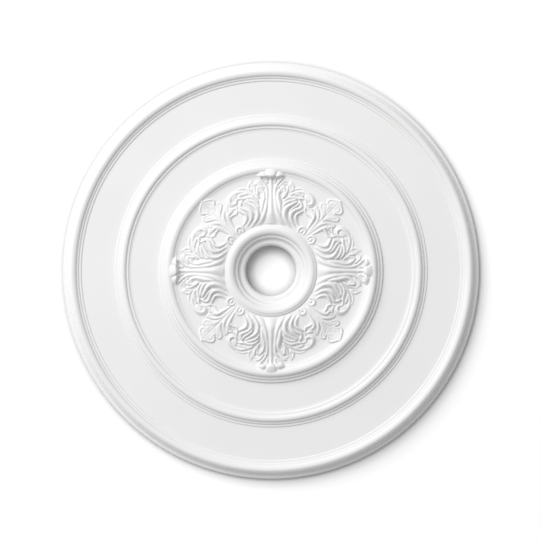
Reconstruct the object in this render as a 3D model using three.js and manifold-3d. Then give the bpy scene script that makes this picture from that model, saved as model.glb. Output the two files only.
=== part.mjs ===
// Ceiling rose, cast in one piece: turned mouldings round a centre hole, and a ring of
// leaf scrolls in low relief. Millimetres, +Z out of the decorated face, flat back on z = 0.
import * as THREE from 'three';
import { mergeVertices } from 'three/addons/utils/BufferGeometryUtils.js';
import Module from 'manifold-3d';

const wasm = await Module();
wasm.setup();

// driving dimensions
const ROSE_RADIUS = 380;
const BACK_RADIUS = 375.5;
const BORE_RADIUS = 46;
const BACK_BORE_RADIUS = 50;
const BORE_LEDGE = 15;
const TURNING_SIDES = 48;
const ARC_STEPS = 2;

// The leaf work is laid out on a square grid round the bore's axis: x runs across a petal's
// axis and y runs outwards along it, in steps of this size.
const GRID_STEP = 1.82;

// how far a carved rib has fallen at its half width, and how deep its foot is set in the casting
const RIB_DROP = 4.2;
const RIB_ROOT = 2;

// Profile of the turned body from the bore outwards, [radius, height] for a straight run and
// [radius, height, 'round' | 'hollow'] for a quarter ellipse that swells out or is scooped in.
const BORE_LIP = [
  [BACK_BORE_RADIUS, 0],
  [BORE_RADIUS, BORE_LEDGE],
  [BORE_RADIUS, 22],
  [48, 26.8],
  [55.2, 29],
];
const CENTRE_RING = [
  [59.4, 33.4],
  [65.2, 37.4],
  [74.6, 45, 'round'],
  [84.2, 40.4],
];
const LEAF_GROUND = [
  [98, 42],
  [118, 40.2],
  [153, 33.6],
  [165, 32.8],
];
const LEAF_RING = [
  [178.6, 35.1],
  [186.2, 39.8, 'round'],
  [193, 33.2, 'round'],
];
const INNER_FIELD = [
  [202, 28.4],
  [204.5, 25],
  [252.8, 24.7],
];
const MIDDLE_RING = [
  [263.6, 27.3],
  [269, 31.2, 'round'],
  [275, 26.4, 'round'],
];
const OUTER_FIELD = [
  [283.2, 22.9],
  [286, 21.2],
  [345, 21],
];
const RIM = [
  [354.2, 25],
  [361.6, 29.6, 'round'],
  [368.8, 19, 'round'],
  [376, 11],
  [ROSE_RADIUS, 7],
  [BACK_RADIUS, 0],
];
const PROFILE = [
  ...BORE_LIP, ...CENTRE_RING, ...LEAF_GROUND, ...LEAF_RING,
  ...INNER_FIELD, ...MIDDLE_RING, ...OUTER_FIELD, ...RIM,
];

// Carved ribs, each a crest line of [x, y, lift, half width]: x, y and half width in grid
// steps, lift in millimetres above the ground.
const STEM = [[0, 47, 0, 6], [0, 57, 7, 3.4], [0, 72, 5.2, 2.4], [0, 91, 4.4, 2]];
const PETAL_FOLDS = [
  [[14, 45.6, 0.4, 2.6], [6.6, 57, 6.6, 2.6], [4, 75, 5, 2], [12, 93.2, 3.4, 1.8]],
  [[10.4, 57.4, 5.8, 2], [7.4, 71, 7, 2.1], [12.6, 83.6, 4.8, 1.8], [13.4, 77, 4.8, 1.6]],
];
const SMALL_LEAVES = [
  [[12.2, 73, 4.8, 1.7], [18.4, 86, 3, 2]],
  [[19.2, 79, 3.2, 1.8], [21.6, 82.5, 3.6, 2.2], [20.2, 89.4, 1.8, 1.8]],
];
const SCROLL_BACK = [
  [[18, 74.8, 4.2, 1.6], [28, 78.2, 3.4, 2.6], [39.8, 74.4, 4.2, 2.8], [39, 66.4, 5, 2.6]],
];
const SCROLL_FOLDS = [
  [[12.4, 68.4, 5, 1.8], [18.2, 72.4, 6, 2], [35.4, 70.6, 4.4, 1.8]],
  [[20, 44, 0.8, 2.2], [13.5, 53.2, 6.8, 2.4], [14.2, 61.2, 8.2, 2.4], [25.2, 68.6, 5.6, 2]],
  [[23.8, 44.8, 1, 2.2], [19.6, 55.4, 7, 2.2], [29.8, 62.4, 5.2, 2], [28.8, 69.2, 4.6, 1.6]],
  [[28.4, 44.4, 1, 1.8], [24.2, 53, 5.6, 2.2], [31.4, 59.2, 3.4, 1.6]],
];
const VOLUTE = [
  [[27.6, 38.6, 1.8, 1.8], [29.4, 43.2, 3, 2], [34, 40.6, 2.8, 2]],
];
const LOWER_LOBE = [
  [[35.6, 40.4, 1, 2], [42, 52.4, 5.4, 2.4], [42, 57, 5.6, 2.2], [34.6, 60, 3.2, 2]],
];
const DIAGONAL_LEAF = [
  [[36.6, 37.4, 0.6, 1.8], [47, 53, 5, 2.4], [45.2, 62.4, 2.6, 2.4]],
  [[45.6, 46.6, 2.2, 1.8], [51, 54.2, 4.4, 2.6], [51.8, 67, 2.2, 3.2]],
  [[55.6, 58.4, 2.8, 2.2], [57.6, 65, 3.4, 3], [60, 70, 2.6, 2.6]],
  [[57.4, 59.4, 2.4, 1.8], [69, 69, 5, 3]],
];
const SIDE_RIBS = [
  ...PETAL_FOLDS, ...SMALL_LEAVES, ...SCROLL_BACK, ...SCROLL_FOLDS,
  ...VOLUTE, ...LOWER_LOBE, ...DIAGONAL_LEAF,
];
// The petal's tip curls back over the ring: a broad middle lobe and one on each side.
const TIP_MIDDLE = [[-4.6, 95.4, 8.6, 2.2], [0, 96.4, 11.8, 2.8], [4.6, 95.4, 8.6, 2.2]];
const TIP_SIDE = [[5.4, 94, 7, 1.8], [8.4, 95.4, 9.4, 2.2], [12.2, 94.4, 4.6, 1.8]];
const TIP_LEAN = { left: 1.1, right: 0.6 };

const PLASTER_WHITE = new THREE.MeshStandardMaterial({ color: '#eeeeec', roughness: 0.6, metalness: 0 });

// points of a quarter ellipse from one corner of the profile to the next
function quarterEllipse([r0, z0], [r1, z1], kind) {
  const steepFirst = (kind === 'round') === (z1 > z0);
  return Array.from({ length: ARC_STEPS }, (_, i) => {
    const angle = ((i + 1) / ARC_STEPS) * (Math.PI / 2);
    const along = steepFirst ? 1 - Math.cos(angle) : Math.sin(angle);
    const up = steepFirst ? Math.sin(angle) : 1 - Math.cos(angle);
    return [r0 + (r1 - r0) * along, z0 + (z1 - z0) * up];
  });
}

// the profile with its curves worked out, as [radius, height] points
function profilePoints() {
  const points = [];
  for (const [radius, height, kind] of PROFILE) {
    const last = points[points.length - 1];
    if (kind) points.push(...quarterEllipse(last, [radius, height], kind));
    else points.push([radius, height]);
  }
  return points;
}

// height of the ground that the leaf work is carved on
function groundHeight(radius) {
  const points = profilePoints();
  const next = points.findIndex(([r], i) => i > 1 && r > radius);
  const [[r0, z0], [r1, z1]] = [points[next - 1], points[next]];
  return z0 + ((z1 - z0) * (radius - r0)) / (r1 - r0);
}

function toManifold(geometry) {
  const bare = geometry.index ? geometry.toNonIndexed() : geometry.clone();
  bare.deleteAttribute('normal');
  bare.deleteAttribute('uv');
  const merged = mergeVertices(bare, 1e-4);
  return new wasm.Manifold(new wasm.Mesh({
    numProp: 3,
    vertProperties: new Float32Array(merged.attributes.position.array),
    triVerts: new Uint32Array(merged.index.array),
  }));
}

function fromManifold(solid) {
  const mesh = solid.getMesh();
  const geometry = new THREE.BufferGeometry();
  geometry.setAttribute('position', new THREE.BufferAttribute(mesh.vertProperties, 3));
  geometry.setIndex(new THREE.BufferAttribute(mesh.triVerts, 1));
  const faceted = geometry.toNonIndexed();
  faceted.computeVertexNormals();
  return faceted;
}

function turnedBody() {
  const outline = profilePoints().map(([r, z]) => new THREE.Vector2(r, z));
  outline.push(outline[0].clone());
  const turned = new THREE.LatheGeometry(outline.reverse(), TURNING_SIDES);
  turned.rotateX(Math.PI / 2);
  return toManifold(turned);
}

// A rib is a bar of triangular section, its crest up and its two feet set in the casting,
// joined from one point of its crest line to the next and closed at both ends.
function ribGeometry(crest, lean, mirrored) {
  const sections = crest.map(([x, y, lift, halfWidth], i) => {
    const before = crest[Math.max(i - 1, 0)];
    const after = crest[Math.min(i + 1, crest.length - 1)];
    const along = new THREE.Vector2(after[0] - before[0], after[1] - before[1]).normalize();
    const left = new THREE.Vector2(-along.y, along.x);
    const ground = groundHeight(Math.hypot(x, y) * GRID_STEP);
    const footSpread = (lift + RIB_ROOT) / RIB_DROP;
    const at = (offset, height) => {
      const px = (x + left.x * offset) * GRID_STEP;
      const py = (y + left.y * offset) * GRID_STEP;
      return [mirrored ? -px : px, py, height];
    };
    return [
      at(halfWidth * lean.left * footSpread, ground - RIB_ROOT),
      at(0, ground + lift),
      at(-halfWidth * lean.right * footSpread, ground - RIB_ROOT),
    ];
  });
  const corners = sections[0].length;
  const faces = [[0, 2, 1]];
  for (let i = 0; i < sections.length - 1; i += 1) {
    for (let j = 0; j < corners; j += 1) {
      const [a, b] = [i * corners + j, i * corners + ((j + 1) % corners)];
      faces.push([a, b, b + corners], [a, b + corners, a + corners]);
    }
  }
  const last = (sections.length - 1) * corners;
  faces.push([last, last + 1, last + 2]);
  const geometry = new THREE.BufferGeometry();
  geometry.setAttribute('position', new THREE.Float32BufferAttribute(sections.flat(2), 3));
  geometry.setIndex((mirrored ? faces.map(([a, b, c]) => [a, c, b]) : faces).flat());
  return geometry;
}

// one quarter of the leaf ring: the petal on the axis and its two sides
function leafQuarter() {
  const even = { left: 1, right: 1 };
  const ribs = [
    ribGeometry(STEM, even, false),
    ribGeometry(TIP_MIDDLE, TIP_LEAN, false),
  ];
  for (const mirrored of [false, true]) {
    ribs.push(...SIDE_RIBS.map((crest) => ribGeometry(crest, even, mirrored)));
    ribs.push(ribGeometry(TIP_SIDE, TIP_LEAN, mirrored));
  }
  return ribs;
}

function ceilingRose() {
  let casting = turnedBody();
  for (let quarter = 0; quarter < 4; quarter += 1) {
    for (const rib of leafQuarter()) {
      casting = casting.add(toManifold(rib.rotateZ((quarter * Math.PI) / 2)));
    }
  }
  const rose = new THREE.Mesh(fromManifold(casting), PLASTER_WHITE);
  rose.name = 'ceiling_rose';
  return rose;
}

const group = new THREE.Group();
group.add(ceilingRose());

export default group;
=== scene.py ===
"""Ceiling rose, seen straight on: the turned mouldings and the leaf carving as one fine mesh."""

import math

import bmesh
import bpy
import numpy as np
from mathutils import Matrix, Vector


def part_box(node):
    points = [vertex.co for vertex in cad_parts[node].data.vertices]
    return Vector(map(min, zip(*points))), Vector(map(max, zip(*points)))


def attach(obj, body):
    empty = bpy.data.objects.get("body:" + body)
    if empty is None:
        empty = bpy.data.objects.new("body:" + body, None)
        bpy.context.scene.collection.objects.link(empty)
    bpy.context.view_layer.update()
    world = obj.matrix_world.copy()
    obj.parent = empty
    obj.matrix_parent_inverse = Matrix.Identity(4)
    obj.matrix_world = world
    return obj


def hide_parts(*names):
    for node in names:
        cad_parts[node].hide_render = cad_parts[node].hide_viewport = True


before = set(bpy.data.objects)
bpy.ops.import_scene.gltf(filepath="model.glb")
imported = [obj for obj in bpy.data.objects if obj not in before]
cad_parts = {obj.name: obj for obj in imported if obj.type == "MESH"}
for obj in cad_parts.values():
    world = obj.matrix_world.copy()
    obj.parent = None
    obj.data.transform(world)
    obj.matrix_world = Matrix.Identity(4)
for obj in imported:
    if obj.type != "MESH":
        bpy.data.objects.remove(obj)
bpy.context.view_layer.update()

MM = 0.001
NODE = "ceiling_rose"
ROSE_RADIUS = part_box(NODE)[1].x / MM
BORE_RADIUS = 46
BACK_BORE_RADIUS = 50
BORE_LEDGE = 15
BACK_RADIUS = 375.5

# The leaf work is laid out on a square grid round the bore's axis, in steps of this many
# millimetres: x runs across a petal's axis and y runs outwards along it.
GRID_STEP = 1.82

# Profile from the bore outwards in millimetres: [radius, height] is a straight run there,
# and "round" or "hollow" a quarter ellipse that swells out or is scooped in.
BORE_LIP = [
    [BORE_RADIUS, 22],
    [48, 26.4],
    [52, 28.8, "round"],
    [55.2, 29],
]
CENTRE_RING = [
    [59.4, 33.4, "hollow"],
    [63, 37, "round"],
    [65.2, 37.4],
    [74.3, 45, "round"],
    [78.4, 43.7, "round"],
    [80.2, 43],
    [83, 40.6, "round"],
]
LEAF_GROUND = [
    [84.2, 40.4],
    [87, 41],
    [98, 42],
    [118, 40.2],
    [135, 36.6],
    [153, 33.6],
    [165, 32.8, "hollow"],
]
LEAF_RING = [
    [175.4, 34.8, "hollow"],
    [178.6, 35.1],
    [186.2, 39.8, "round"],
    [193, 33.2, "round"],
    [195.8, 32.6],
]
INNER_FIELD = [
    [198.4, 29.2, "round"],
    [202, 28.6],
    [204, 25.2, "round"],
    [213, 24.7, "hollow"],
    [252.8, 24.7],
]
MIDDLE_RING = [
    [259.6, 27.1, "hollow"],
    [263.6, 27.3],
    [269, 31.2, "round"],
    [275, 26.4, "round"],
    [277.6, 25.8],
]
OUTER_FIELD = [
    [279.8, 23.2, "round"],
    [283.2, 22.9],
    [285, 21.3, "round"],
    [294, 21, "hollow"],
    [345, 21],
]
RIM = [
    [347, 22.6, "round"],
    [350, 22.8],
    [352.2, 24.7, "round"],
    [354.2, 25],
    [361.6, 29.6, "round"],
    [368.8, 19, "round"],
    [370.6, 18.4],
    [375.4, 11, "hollow"],
    [377, 10.8],
    [ROSE_RADIUS, 7, "round"],
    [ROSE_RADIUS, 6],
    [BACK_RADIUS, 0],
]
PROFILE = BORE_LIP + CENTRE_RING + LEAF_GROUND + LEAF_RING + INNER_FIELD + MIDDLE_RING + OUTER_FIELD + RIM

# Carved ribs, each a crest line of [x, y, lift, half width]: x, y and half width in grid
# steps, lift in millimetres above the ground.
STEM = [
    [[0, 44, -6, 8], [0, 47.2, -2, 8], [0, 49, -0.8, 8], [0, 50.6, 1, 7.6], [0, 53, 4, 6],
     [0, 57, 7, 3.6], [0, 63, 6.6, 2.7],
     [0, 72, 5.2, 2.4], [0, 80, 4, 2.2], [0, 86, 3.6, 2.1], [0, 90.6, 4.6, 2],
     [0, 92.6, 6.6, 2]],
]
PETAL_FOLDS = [
    [[14.2, 44.2, -2.6, 2.8], [12.4, 47.4, 1, 2.8], [10.2, 50.2, 3.6, 2.8], [7.3, 55.5, 6.2, 2.6],
     [5.4, 61.4, 6.8, 2.3], [4.4, 69, 5.3, 2], [3.8, 76, 4.8, 1.8], [4.5, 82.3, 4, 1.6],
     [7.3, 88, 3.8, 1.4], [10, 90.6, 4, 1.4], [12.2, 93.6, 3, 1.4]],
    [[7.2, 83, 3.6, 1.2], [9.5, 86, 3.4, 1.3], [12.2, 88.6, 3.4, 1.3], [14.8, 89, 2.4, 1.2]],
    [[10.4, 57.4, 5.6, 2], [9.2, 61.5, 6.6, 2.2], [8.4, 66.5, 6.7, 2.2], [7.2, 71.4, 6.6, 2],
     [6.9, 75.6, 5.5, 1.7], [8.5, 79.6, 4.4, 1.5], [11.6, 83, 4.5, 1.3], [13.3, 82.8, 4.6, 1.2],
     [13.7, 79.6, 4.6, 1.2], [13.3, 76.6, 4.8, 1.3]],
]
SMALL_LEAVES = [
    [[12.2, 73, 4.6, 1.3], [14, 75.6, 5.2, 1.4], [15.9, 79, 4.3, 1.4], [16.9, 83.2, 3.7, 1.3],
     [18.4, 86, 2.6, 1.2]],
    [[10.6, 79.4, 3.4, 2.2], [12, 81, 3.2, 1.6]],
    [[10, 84, 2.8, 3], [13, 86.6, 2.8, 2.6], [15.6, 86.4, 2.4, 2]],
    [[19.4, 78.6, 2.8, 1.2], [21.6, 80.8, 3.2, 1.2], [22.4, 83.8, 3, 1.2], [21.4, 86.6, 2.4, 1.2],
     [20.2, 89.4, 1.6, 1.2]],
    [[18.6, 81, 2.8, 2], [19.4, 84.6, 2.6, 1.8], [19.6, 88, 2, 1.4]],
]
SCROLL_BACK = [
    [[22, 80.4, 2.2, 1.4], [26.3, 81.6, 2, 1.6], [29.6, 81.6, 1.8, 1.6], [34, 80, 1.8, 1.6]],
    [[18, 74.8, 4, 1.3], [21.6, 76.7, 3.7, 1.5], [26.3, 78, 3.3, 1.7], [30, 78.5, 3, 1.9],
     [34.5, 77.4, 3.2, 2.2], [38.4, 75, 4, 2.2], [40.8, 72, 4.7, 2.1], [41.4, 69, 4.9, 2],
     [40.2, 66.4, 4.9, 1.8], [37.6, 65.6, 4.5, 1.5], [35.4, 66.8, 4.2, 1.4], [34.6, 69, 3.9, 1.4],
     [35, 71.4, 3.4, 1.4]],
    [[24.6, 76.2, 3.8, 1.1], [28, 75.9, 3.8, 1.1], [31.8, 74.2, 3.6, 1.2]],
    [[43.2, 72.4, 1.8, 1.3], [43.6, 69, 2.4, 1.3], [42.4, 65.4, 2.8, 1.3]],
    [[41.4, 64.6, 3, 1.1], [39, 63.6, 2.8, 1.1], [36.6, 63.6, 2.4, 1.1]],
]
SCROLL_EYE = [
    [[36.4, 73.4, 3.2, 3], [38, 70.4, 3.9, 3]],
]
SCROLL_FOLDS = [
    [[12.8, 69.4, 4.4, 1.2], [15, 71.3, 5.2, 1.3], [18.2, 72.8, 5.6, 1.4], [22.6, 72.9, 5.4, 1.4],
     [26.4, 71.8, 4.8, 1.3], [30.4, 71.7, 4.4, 1.2], [33, 71.3, 3.6, 1.2]],
    [[12, 63.6, 5.4, 1.2], [13.3, 66.2, 6, 1.3], [15.6, 68, 6.4, 1.4], [19.4, 69.6, 6.2, 1.4],
     [23.6, 70.2, 5.2, 1.3]],
    [[21.4, 41.4, -2.4, 2.2], [19, 45.2, 1.2, 2.2], [15.2, 49.6, 5, 2.2], [13.5, 53.2, 6.6, 2.2],
     [13.2, 57, 7.8, 2.2], [14.2, 61, 8, 2], [16.6, 63.6, 7.6, 1.7], [20.4, 65.8, 6.6, 1.5],
     [25.2, 68.4, 5.2, 1.3]],
    [[17.8, 57.4, 5, 1.1], [19.6, 60.4, 5.8, 1.1], [23, 63.2, 5.6, 1.1], [26.4, 65.6, 5, 1.1],
     [27.8, 67.4, 4.6, 1.1]],
    [[25.4, 42, -2, 2], [22.6, 46.6, 2.4, 2], [20.2, 50.6, 5.2, 2], [19.4, 54, 6.8, 2],
     [20.2, 57.2, 7, 1.9], [23, 59.8, 6.3, 1.7], [27.4, 61.6, 5.2, 1.6], [30.2, 63.4, 4.6, 1.5],
     [30.2, 66.4, 4.6, 1.3], [28.6, 69.2, 4.4, 1.2]],
    [[29, 43.6, 0, 1.7], [26.2, 46.9, 2.4, 1.7], [24.5, 50.6, 4.6, 1.8], [24.3, 53.4, 5.4, 1.8],
     [25.2, 56, 5.8, 1.6], [28, 57.6, 5.2, 1.3], [31.4, 59.4, 4.4, 1.1]],
]
VOLUTE = [
    [[27.2, 38.4, 0.6, 1.4], [27.6, 41.2, 2, 1.5], [29.8, 43.3, 2.7, 1.6], [32.6, 43.1, 2.7, 1.6],
     [34.2, 40.8, 2.4, 1.5], [33.9, 38, 1.6, 1.4], [32, 36.4, 0.6, 1.3]],
    [[30.2, 38.8, 1.8, 1.6], [31.2, 40, 1.8, 1.6]],
]
LOWER_LOBE = [
    [[34.6, 38.6, 0.4, 1.5], [37.5, 43.6, 2, 1.6], [40.4, 48.4, 3.6, 1.8], [42.4, 52.4, 5.4, 1.9],
     [42.8, 55, 5.8, 1.8], [41, 57.2, 5, 1.6], [38.6, 58.6, 3.6, 1.4]],
    [[40.6, 53, 4.2, 1.6], [37.6, 55.2, 3.8, 1.2], [34.8, 56.4, 3.2, 1.1], [33.6, 59, 3.2, 1.1],
     [34, 62, 3, 1.3], [34.6, 64.4, 2.8, 1.2]],
    [[34.8, 63, 2.6, 1.4], [37.4, 61.2, 2.8, 1.6], [41, 60.2, 3.4, 1.6]],
]
LEAF_EDGE_RIGHT = [
    [[36.4, 36.4, 0.6, 1.6], [43.2, 45.4, 2.2, 1.6], [46, 49.2, 3.6, 1.6], [47.4, 53, 5.2, 1.6],
     [47.8, 57.4, 4.1, 1.5], [47.2, 60.8, 2.9, 1.3]],
]
LEAF_EDGE_LEFT = [
    [[43.4, 58.6, 3.6, 1.6], [43.2, 61.6, 2.9, 1.6], [45, 63.4, 2.7, 1.6], [47.2, 61, 3, 1.6]],
    [[47.6, 48.4, 3, 1.6], [50.2, 52, 4.6, 1.6], [51, 55.2, 4.1, 1.6], [50.6, 58.2, 3.5, 1.6],
     [49.4, 62.2, 3, 1.6], [49.3, 65.6, 2.8, 1.6], [51.4, 67.6, 2.8, 1.6], [53.8, 66.8, 3, 1.6],
     [55, 63.8, 3.2, 1.4]],
    [[57, 63, 3.6, 1.5], [56.4, 66, 3.3, 1.6], [56.4, 68.8, 3.3, 1.6], [58.2, 70.7, 3.4, 1.6],
     [61, 71, 3.8, 1.6], [65.2, 69.9, 4.6, 1.6], [69.1, 69.1, 5.4, 1.6]],
]
DIAGONAL_LEAF = [
    [[55, 63.8, 3, 1.2], [56, 61.6, 3.2, 1.2], [56.4, 59.6, 2.8, 1.2]],
    [[53.4, 59.4, 2.9, 1.2], [52, 64.4, 2.2, 1.2]],
    [[59.8, 63.4, 3.1, 1.2], [59, 67, 2.8, 1.2]],
    [[46, 51, 3.6, 2.2], [46.2, 56, 3.7, 2.8], [45.4, 60.6, 2.7, 2.8]],
    [[51.6, 54, 4, 3.4], [52.6, 59, 3.1, 3.8], [52.2, 63.4, 2.4, 3.8], [52, 65.6, 2, 2.8]],
    [[57.6, 62.6, 3.1, 3], [59.8, 66.6, 2.8, 4.2], [64, 67.8, 3.3, 3.4], [67.4, 68.2, 4.2, 2]],
    [[50, 50, 3.6, 1.8], [56, 57, 2.9, 2], [62, 63.6, 2.8, 2.6], [67, 67.6, 4, 2]],
    [[36, 36, 0, 3], [44, 45, 1.6, 3.4], [48, 50, 3.4, 4], [51.4, 56, 2.8, 5]],
]
TIP_LOBES = [
    [[-1, 94.8, 11.8, 3.4], [1, 94.8, 11.7, 3.4], [2.8, 95, 10.8, 2.6], [4.4, 97, 9, 1.8]],
    [[6, 94.3, 9.4, 2.2], [8, 94.6, 9.4, 2.3], [9.8, 94.4, 7, 1.5]],
]
TIP_ROOTS = [
    [[3.9, 88, 3, 1.1], [4.3, 91, 4, 1.1], [4.6, 93.2, 6, 1]],
    [[9.8, 91, 3.2, 1.2], [11, 93, 4.8, 1.2]],
]
EVEN = (1, 1)
TIP_LEAN = (1.5, 0.5)
STEEP_RIGHT = (1.5, 0.7)
STEEP_LEFT = (0.45, 1.3)
LEAF_RIBS = [
    (crest, EVEN)
    for group in (STEM, PETAL_FOLDS, SMALL_LEAVES, SCROLL_BACK, SCROLL_EYE, SCROLL_FOLDS, VOLUTE,
                  LOWER_LOBE, DIAGONAL_LEAF, TIP_ROOTS)
    for crest in group
]
LEAF_RIBS += [(crest, STEEP_RIGHT) for crest in LEAF_EDGE_RIGHT]
LEAF_RIBS += [(crest, STEEP_LEFT) for crest in LEAF_EDGE_LEFT]
LEAF_RIBS += [(crest, TIP_LEAN) for crest in TIP_LOBES]

# Cuts between the ribs, each a line of [x, y, depth, half width]: x, y and half width in grid
# steps, depth in millimetres below what the ribs leave.
LEAF_CUTS = [
    [[16.2, 45.8, 1, 0.9], [13.5, 49, 2.2, 0.9], [10.8, 55, 1.8, 0.9], [10.9, 63, 1.6, 0.9],
     [12, 70.4, 2, 0.9], [15, 73.6, 2, 0.9], [18, 77, 1.8, 0.9], [22.5, 79.2, 1.4, 0.9],
     [30, 80.4, 0.8, 0.9], [35, 79.6, 0, 0.9]],
    [[20.8, 45.8, 1, 0.9], [17.8, 51, 2.4, 0.9], [16.8, 57, 2.2, 0.9], [18.4, 61.6, 2, 0.8],
     [23, 65.3, 1.8, 0.8], [26.6, 67.4, 1.6, 0.8], [27.4, 69.4, 1, 0.8]],
    [[26.2, 44.9, 0.8, 0.9], [23.5, 48.3, 2, 0.9], [21.9, 52.6, 2.2, 0.9], [22.6, 56.2, 2.4, 0.9],
     [25.5, 59, 2.2, 0.8], [30, 59.6, 1.4, 0.8]],
    [[31.3, 60.8, 1, 0.9], [32.3, 64, 1.4, 0.9], [31.9, 67.4, 1.4, 0.9], [31.6, 69.6, 2.6, 1.1],
     [31.4, 70.6, 2, 1]],
    [[39, 43, 0, 0.8], [42.4, 47.6, 1.6, 0.8], [44.8, 51.6, 2.4, 0.8], [45.5, 54.6, 2, 0.8],
     [45, 58, 0.6, 0.8]],
    [[48.4, 52.8, 1.2, 0.7], [49.1, 56, 1.6, 0.7], [48.7, 59.8, 1.2, 0.7], [47.4, 63, 0.6, 0.8]],
    [[55.6, 65.4, 1.6, 0.8], [54.6, 69, 0.8, 0.8]],
    [[45, 45.6, 0, 0.8], [50.4, 50.6, 1.4, 0.8], [53, 53, 1.4, 0.8], [60, 60, 0.9, 0.8],
     [66.6, 66.6, 0.2, 0.8]],
    [[33.8, 60.2, 0, 0.9], [35.6, 58.8, 1.2, 1], [37.4, 57.9, 2.4, 1.1], [39.2, 57.2, 2.4, 1],
     [40.4, 56, 0.6, 0.8]],
    [[36, 62.9, 0.8, 0.8], [41.5, 62.6, 1, 0.8]],
    [[10.2, 89, 0.6, 0.7], [7.4, 85.2, 1, 0.7], [5.6, 80, 0.6, 0.7]],
    [[17.6, 91.6, 0, 0.8], [13.6, 92, 1.4, 0.8], [10.4, 89.2, 1.4, 0.7]],
    [[14.8, 86.6, 0.8, 0.8], [11.4, 85.4, 1, 0.7], [8, 82, 0.6, 0.7]],
    [[14.7, 84, 0.8, 0.7], [14.6, 79, 0.8, 0.7]],
    [[19, 87, 0.4, 0.7], [17.8, 80.6, 1, 0.7]],
    [[1.9, 87.6, 0.4, 0.8], [1.9, 89.8, 2.4, 1], [1.9, 91.5, 4.6, 1.1], [2.2, 92.6, 2.4, 0.8]],
    [[5.6, 89.6, 0.8, 0.8], [6.6, 91.2, 2.4, 1], [7.4, 92.2, 4, 1.1], [8.8, 92.6, 2, 0.8]],
    [[4, 93.6, 1.6, 0.7], [5.2, 96.2, 2.6, 0.8], [6.6, 99.2, 2, 0.8]],
    [[36.2, 71.8, 1.8, 0.8], [37.4, 70.8, 1.2, 1.2], [39, 69, 2, 1.3]],
    [[28.8, 40.4, 0.2, 0.7], [29.8, 41.7, 0.7, 0.7], [32, 41.4, 0.5, 0.7], [32.6, 39.4, 0.3, 0.7],
     [31.4, 38, 0.2, 0.7]],
]

# how far a rib has fallen at its half width, how sharply it falls, how far off it is still
# worked out (in grid steps), how softly ribs run together, and how deep a cut may go below ground
RIB_DROP = 3.2
RIB_POWER = 1.6
RIB_REACH = 12
BLEND = 0.35
GROUND_CUT = 0.2
NOWHERE = -1000.0

# how finely the curves and the mesh are cut
RIB_CURVE_STEPS = 14
CUT_CURVE_STEPS = 6
ARC_STEP = 1.6
FEWEST_ARC_STEPS = 3
CORNER = 0.35
PLAIN_SIDES = 240
LEAF_SIDES = 3 * PLAIN_SIDES
LEAF_ZONE = (84.4, 187.5)
LEAF_RING_STEP = 1.4


def quarter_ellipse(start, end, kind):
    """Points of a quarter ellipse from one corner of the profile to the next."""
    (r0, z0), (r1, z1) = start, end
    steep_first = (kind == "round") == (z1 > z0)
    steps = max(FEWEST_ARC_STEPS, round(math.hypot(r1 - r0, z1 - z0) / ARC_STEP))
    points = []
    for i in range(1, steps + 1):
        angle = i / steps * math.pi / 2
        along, up = 1 - math.cos(angle), math.sin(angle)
        if not steep_first:
            along, up = up, along
        points.append((r0 + (r1 - r0) * along, z0 + (z1 - z0) * up))
    return points


def straight_run(start, end):
    """Ends of a straight run, with a point close inside each end to keep its corners crisp."""
    (r0, z0), (r1, z1) = start, end
    length = math.hypot(r1 - r0, z1 - z0)
    if length < 3 * CORNER:
        return [end]
    share = CORNER / length
    return [(r0 + (r1 - r0) * t, z0 + (z1 - z0) * t) for t in (share, 1 - share, 1)]


def profile_points():
    """The profile with its curves worked out, as (radius, height) points."""
    points = [(BACK_BORE_RADIUS, 0), (BORE_RADIUS, BORE_LEDGE)]
    for radius, height, *kind in PROFILE:
        if kind:
            points += quarter_ellipse(points[-1], (radius, height), kind[0])
        else:
            points += straight_run(points[-1], (radius, height))
    return points


POINTS = profile_points()

# the face alone, without the bore's wall and the undercut side of the rim
WALL_POINTS = 2
UNDERCUT_POINTS = 4
FACE = np.array(POINTS[WALL_POINTS:-UNDERCUT_POINTS])


def face_height(radius):
    return np.interp(radius, FACE[:, 0], FACE[:, 1])


def ground_height(radius):
    """The ground under the leaf work, run on level inwards of its highest place and under the
    ring that the tips lie over."""
    inner, outer = LEAF_GROUND[2][0], LEAF_GROUND[-1][0]
    return face_height(np.clip(radius, inner, outer))


def smooth_curve(points, per_span):
    """A centripetal Catmull-Rom curve through the rows of points."""
    rows = np.array(points, float)
    first, last = 2 * rows[0] - rows[1], 2 * rows[-1] - rows[-2]
    rows = np.vstack([first, rows, last])
    out = []
    for p0, p1, p2, p3 in zip(rows, rows[1:], rows[2:], rows[3:]):
        knots = [0.0]
        for a, b in ((p0, p1), (p1, p2), (p2, p3)):
            knots.append(knots[-1] + math.sqrt(math.hypot(*(b - a)[:2])))
        t0, t1, t2, t3 = knots
        for t in np.linspace(t1, t2, per_span, endpoint=False):
            a1 = p0 * (t1 - t) / (t1 - t0) + p1 * (t - t0) / (t1 - t0)
            a2 = p1 * (t2 - t) / (t2 - t1) + p2 * (t - t1) / (t2 - t1)
            a3 = p2 * (t3 - t) / (t3 - t2) + p3 * (t - t2) / (t3 - t2)
            b1 = a1 * (t2 - t) / (t2 - t0) + a2 * (t - t0) / (t2 - t0)
            b2 = a2 * (t3 - t) / (t3 - t1) + a3 * (t - t1) / (t3 - t1)
            out.append(b1 * (t2 - t) / (t2 - t1) + b2 * (t - t1) / (t2 - t1))
    out.append(rows[-2])
    return np.array(out)


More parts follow.
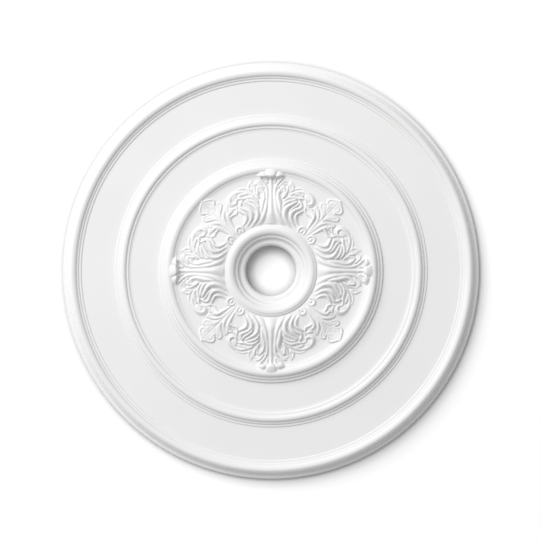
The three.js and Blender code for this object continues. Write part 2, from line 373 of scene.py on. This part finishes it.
def rib_height(x, y, crest, lean):
    """Height of one rib at the grid places x, y: its crest less how far it has fallen away."""
    line = smooth_curve(crest, RIB_CURVE_STEPS)
    line[:, 2] += ground_height(np.hypot(line[:, 0], line[:, 1]) * GRID_STEP)
    best = np.full(x.shape, NOWHERE)
    near = (
        (x > line[:, 0].min() - RIB_REACH) & (x < line[:, 0].max() + RIB_REACH)
        & (y > line[:, 1].min() - RIB_REACH) & (y < line[:, 1].max() + RIB_REACH)
    )
    px, py, top = x[near], y[near], best[near]
    for start, end in zip(line, line[1:]):
        run = end[:2] - start[:2]
        share = ((px - start[0]) * run[0] + (py - start[1]) * run[1]) / max(run @ run, 1e-12)
        share = np.clip(share, 0, 1)
        dx = px - start[0] - share * run[0]
        dy = py - start[1] - share * run[1]
        side = run[0] * dy - run[1] * dx
        half_width = start[3] + (end[3] - start[3]) * share
        half_width = half_width * np.where(side > 0, lean[0], lean[1])
        crest_height = start[2] + (end[2] - start[2]) * share
        top = np.maximum(top, crest_height - RIB_DROP * (np.hypot(dx, dy) / half_width) ** RIB_POWER)
    best[near] = top
    return best


def cut_depth(x, y, cut):
    """Depth of one cut at the grid places x, y, rounded off to both its sides and its ends."""
    line = smooth_curve(cut, CUT_CURVE_STEPS)
    depth = np.zeros(x.shape)
    for start, end in zip(line, line[1:]):
        run = end[:2] - start[:2]
        share = ((x - start[0]) * run[0] + (y - start[1]) * run[1]) / max(run @ run, 1e-12)
        share = np.clip(share, 0, 1)
        off = np.hypot(x - start[0] - share * run[0], y - start[1] - share * run[1])
        half_width = start[3] + (end[3] - start[3]) * share
        middle = start[2] + (end[2] - start[2]) * share
        depth = np.maximum(depth, middle * np.exp(-((off / half_width) ** 2)))
    return depth


def carved_height(x, y):
    """Height of the face at grid places x, y inside one eighth, ground and carving together."""
    layers = [face_height(np.hypot(x, y) * GRID_STEP)]
    layers += [rib_height(x, y, crest, lean) for crest, lean in LEAF_RIBS]
    layers = np.array(layers)
    top = layers.max(0)
    top = top + BLEND * np.log(np.exp((layers - top) / BLEND).sum(0))
    for cut in LEAF_CUTS:
        top = top - cut_depth(x, y, cut)
    return np.maximum(top, layers[0] - GROUND_CUT)


def ring(radius, height, sides):
    """One ring of points; height is a number, or one value for each side."""
    angle = np.arange(sides) * 2 * math.pi / sides
    return np.column_stack([radius * np.sin(angle), radius * np.cos(angle), np.broadcast_to(height, sides)])


def leaf_rings():
    """The rings of the leaf zone, each with the carved heights of its points."""
    inner, outer = LEAF_ZONE
    corners = [inner]
    for radius, height in POINTS:
        if corners[-1] + LEAF_RING_STEP / 2 < radius < outer:
            corners.append(radius)
    radii = []
    for start, end in zip(corners, corners[1:] + [outer]):
        count = math.ceil((end - start) / LEAF_RING_STEP)
        radii += list(np.linspace(start, end, count + 1)[:-1])
    radii = np.array(radii[1:])
    eighth = LEAF_SIDES // 8
    angle = np.arange(eighth + 1) * 2 * math.pi / LEAF_SIDES
    x = np.outer(radii, np.sin(angle)) / GRID_STEP
    y = np.outer(radii, np.cos(angle)) / GRID_STEP
    heights = carved_height(x, y)
    quarter = np.hstack([heights, heights[:, -2:0:-1]])
    full = np.tile(quarter, 4)
    return [ring(radius, row, LEAF_SIDES) for radius, row in zip(radii, full)]


def strip(lower, upper, first_lower, first_upper):
    """Faces between two neighbouring rings, the second with as many points or a multiple."""
    if lower > upper:
        return [tuple(reversed(face)) for face in strip(upper, lower, first_upper, first_lower)]
    faces = []
    ratio = upper // lower
    for i in range(lower):
        a, b = first_lower + i, first_lower + (i + 1) % lower
        fine = [first_upper + (ratio * i + k) % upper for k in range(ratio + 1)]
        if ratio == 1:
            faces.append((a, *fine, b))
            continue
        half = ratio // 2
        faces += [(a, fine[k], fine[k + 1]) for k in range(half)]
        faces.append((a, fine[half], b))
        faces += [(b, fine[k], fine[k + 1]) for k in range(half, ratio)]
    return faces


def rose_mesh():
    rings = []
    inner, outer = LEAF_ZONE
    carved_done = False
    for radius, height in POINTS:
        if inner < radius < outer:
            if not carved_done:
                rings += leaf_rings()
                carved_done = True
            continue
        rings.append(ring(radius, height, PLAIN_SIDES))
    sizes = [len(r) for r in rings]
    firsts = np.concatenate([[0], np.cumsum(sizes)]).astype(int)
    faces = []
    for i, size in enumerate(sizes):
        j = (i + 1) % len(sizes)
        faces += strip(size, sizes[j], int(firsts[i]), int(firsts[j]))
    mesh = bpy.data.meshes.new("carved_rose")
    mesh.from_pydata((np.vstack(rings) * MM).tolist(), [], faces)
    work = bmesh.new()
    work.from_mesh(mesh)
    bmesh.ops.triangulate(work, faces=work.faces[:], quad_method="SHORT_EDGE")
    work.to_mesh(mesh)
    work.free()
    for polygon in mesh.polygons:
        polygon.use_smooth = True
    return mesh


def primed_white():
    material = bpy.data.materials.new("primed_white")
    material.use_nodes = True
    nodes, links = material.node_tree.nodes, material.node_tree.links
    shader = nodes["Principled BSDF"]
    shader.inputs["Roughness"].default_value = 0.6
    shader.inputs["Specular IOR Level"].default_value = 0.3
    place = nodes.new("ShaderNodeTexCoord")
    cloud = nodes.new("ShaderNodeTexNoise")
    cloud.inputs["Scale"].default_value = 9
    cloud.inputs["Detail"].default_value = 3
    tint = nodes.new("ShaderNodeValToRGB")
    tint.color_ramp.elements[0].position = 0.3
    tint.color_ramp.elements[1].position = 0.7
    tint.color_ramp.elements[0].color = (0.695, 0.695, 0.693, 1)
    tint.color_ramp.elements[1].color = (0.71, 0.71, 0.708, 1)
    links.new(place.outputs["Object"], cloud.inputs["Vector"])
    links.new(cloud.outputs["Fac"], tint.inputs["Fac"])
    links.new(tint.outputs["Color"], shader.inputs["Base Color"])
    grain = nodes.new("ShaderNodeTexNoise")
    grain.inputs["Scale"].default_value = 420
    grain.inputs["Detail"].default_value = 2
    bump = nodes.new("ShaderNodeBump")
    bump.inputs["Strength"].default_value = 0.08
    bump.inputs["Distance"].default_value = 0.0004
    links.new(place.outputs["Object"], grain.inputs["Vector"])
    links.new(grain.outputs["Fac"], bump.inputs["Height"])
    links.new(bump.outputs["Normal"], shader.inputs["Normal"])
    return material


def make_rose():
    rose = bpy.data.objects.new("rose_carving", rose_mesh())
    bpy.context.scene.collection.objects.link(rose)
    rose.data.materials.append(primed_white())
    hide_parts(NODE)
    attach(rose, "root")


def make_floor():
    half = 4.0
    below_part = 0.0005
    mesh = bpy.data.meshes.new("floor")
    corners = [(-half, -half, 0), (half, -half, 0), (half, half, 0), (-half, half, 0)]
    mesh.from_pydata(corners, [], [(0, 1, 2, 3)])
    floor = bpy.data.objects.new("floor", mesh)
    floor.location.z = -below_part
    bpy.context.scene.collection.objects.link(floor)
    material = bpy.data.materials.new("floor_white_painted_shade")
    material.use_nodes = True
    shader = material.node_tree.nodes["Principled BSDF"]
    shader.inputs["Roughness"].default_value = 0.9
    shader.inputs["Specular IOR Level"].default_value = 0.0
    nodes, links = material.node_tree.nodes, material.node_tree.links
    # painted shade: ambient occlusion turns the floor's colour from near white to dark grey close to the
    # rose, painting a contact shadow round the rim and on the floor inside the bore
    painted_contact_shade = nodes.new("ShaderNodeAmbientOcclusion")
    painted_contact_shade.inputs["Distance"].default_value = 0.022
    tint = nodes.new("ShaderNodeValToRGB")
    tint.color_ramp.elements[0].color = (0.25, 0.25, 0.25, 1)
    tint.color_ramp.elements[1].color = (0.93, 0.93, 0.93, 1)
    links.new(painted_contact_shade.outputs["AO"], tint.inputs["Fac"])
    links.new(tint.outputs["Color"], shader.inputs["Base Color"])
    mesh.materials.append(material)


def make_camera():
    """Straight down the axis with a long lens, framed as the photograph is."""
    frame_width = 0.9837
    photo_pixels = 540
    off_axis = (-1.0, 0.8)
    lens, sensor = 150, 36
    framed_height = 0.02
    photo_pixel = frame_width / photo_pixels
    camera = bpy.data.cameras.new("camera")
    camera.lens = lens
    camera.sensor_width = sensor
    camera.clip_end = 50
    holder = bpy.data.objects.new("camera", camera)
    camera_height = frame_width * lens / sensor + framed_height
    holder.location = (off_axis[0] * photo_pixel, off_axis[1] * photo_pixel, camera_height)
    bpy.context.scene.collection.objects.link(holder)
    bpy.context.scene.camera = holder


def area_light(name, location, size, power):
    light = bpy.data.lights.new(name, "AREA")
    light.shape = "DISK"
    light.size = size
    light.energy = power
    holder = bpy.data.objects.new(name, light)
    holder.location = location
    direction = -holder.location
    holder.rotation_mode = "QUATERNION"
    holder.rotation_quaternion = direction.to_track_quat("-Z", "Y")
    bpy.context.scene.collection.objects.link(holder)


def make_lights():
    world = bpy.data.worlds.new("studio")
    world.use_nodes = True
    background = world.node_tree.nodes["Background"]
    background.inputs["Color"].default_value = (1, 1, 1, 1)
    background.inputs["Strength"].default_value = 0.485
    bpy.context.scene.world = world
    area_light("key", location=(-4, 4, 5.66), size=7, power=730)


make_camera()
make_lights()
make_floor()
make_rose()
bpy.context.scene.view_settings.view_transform = "Standard"
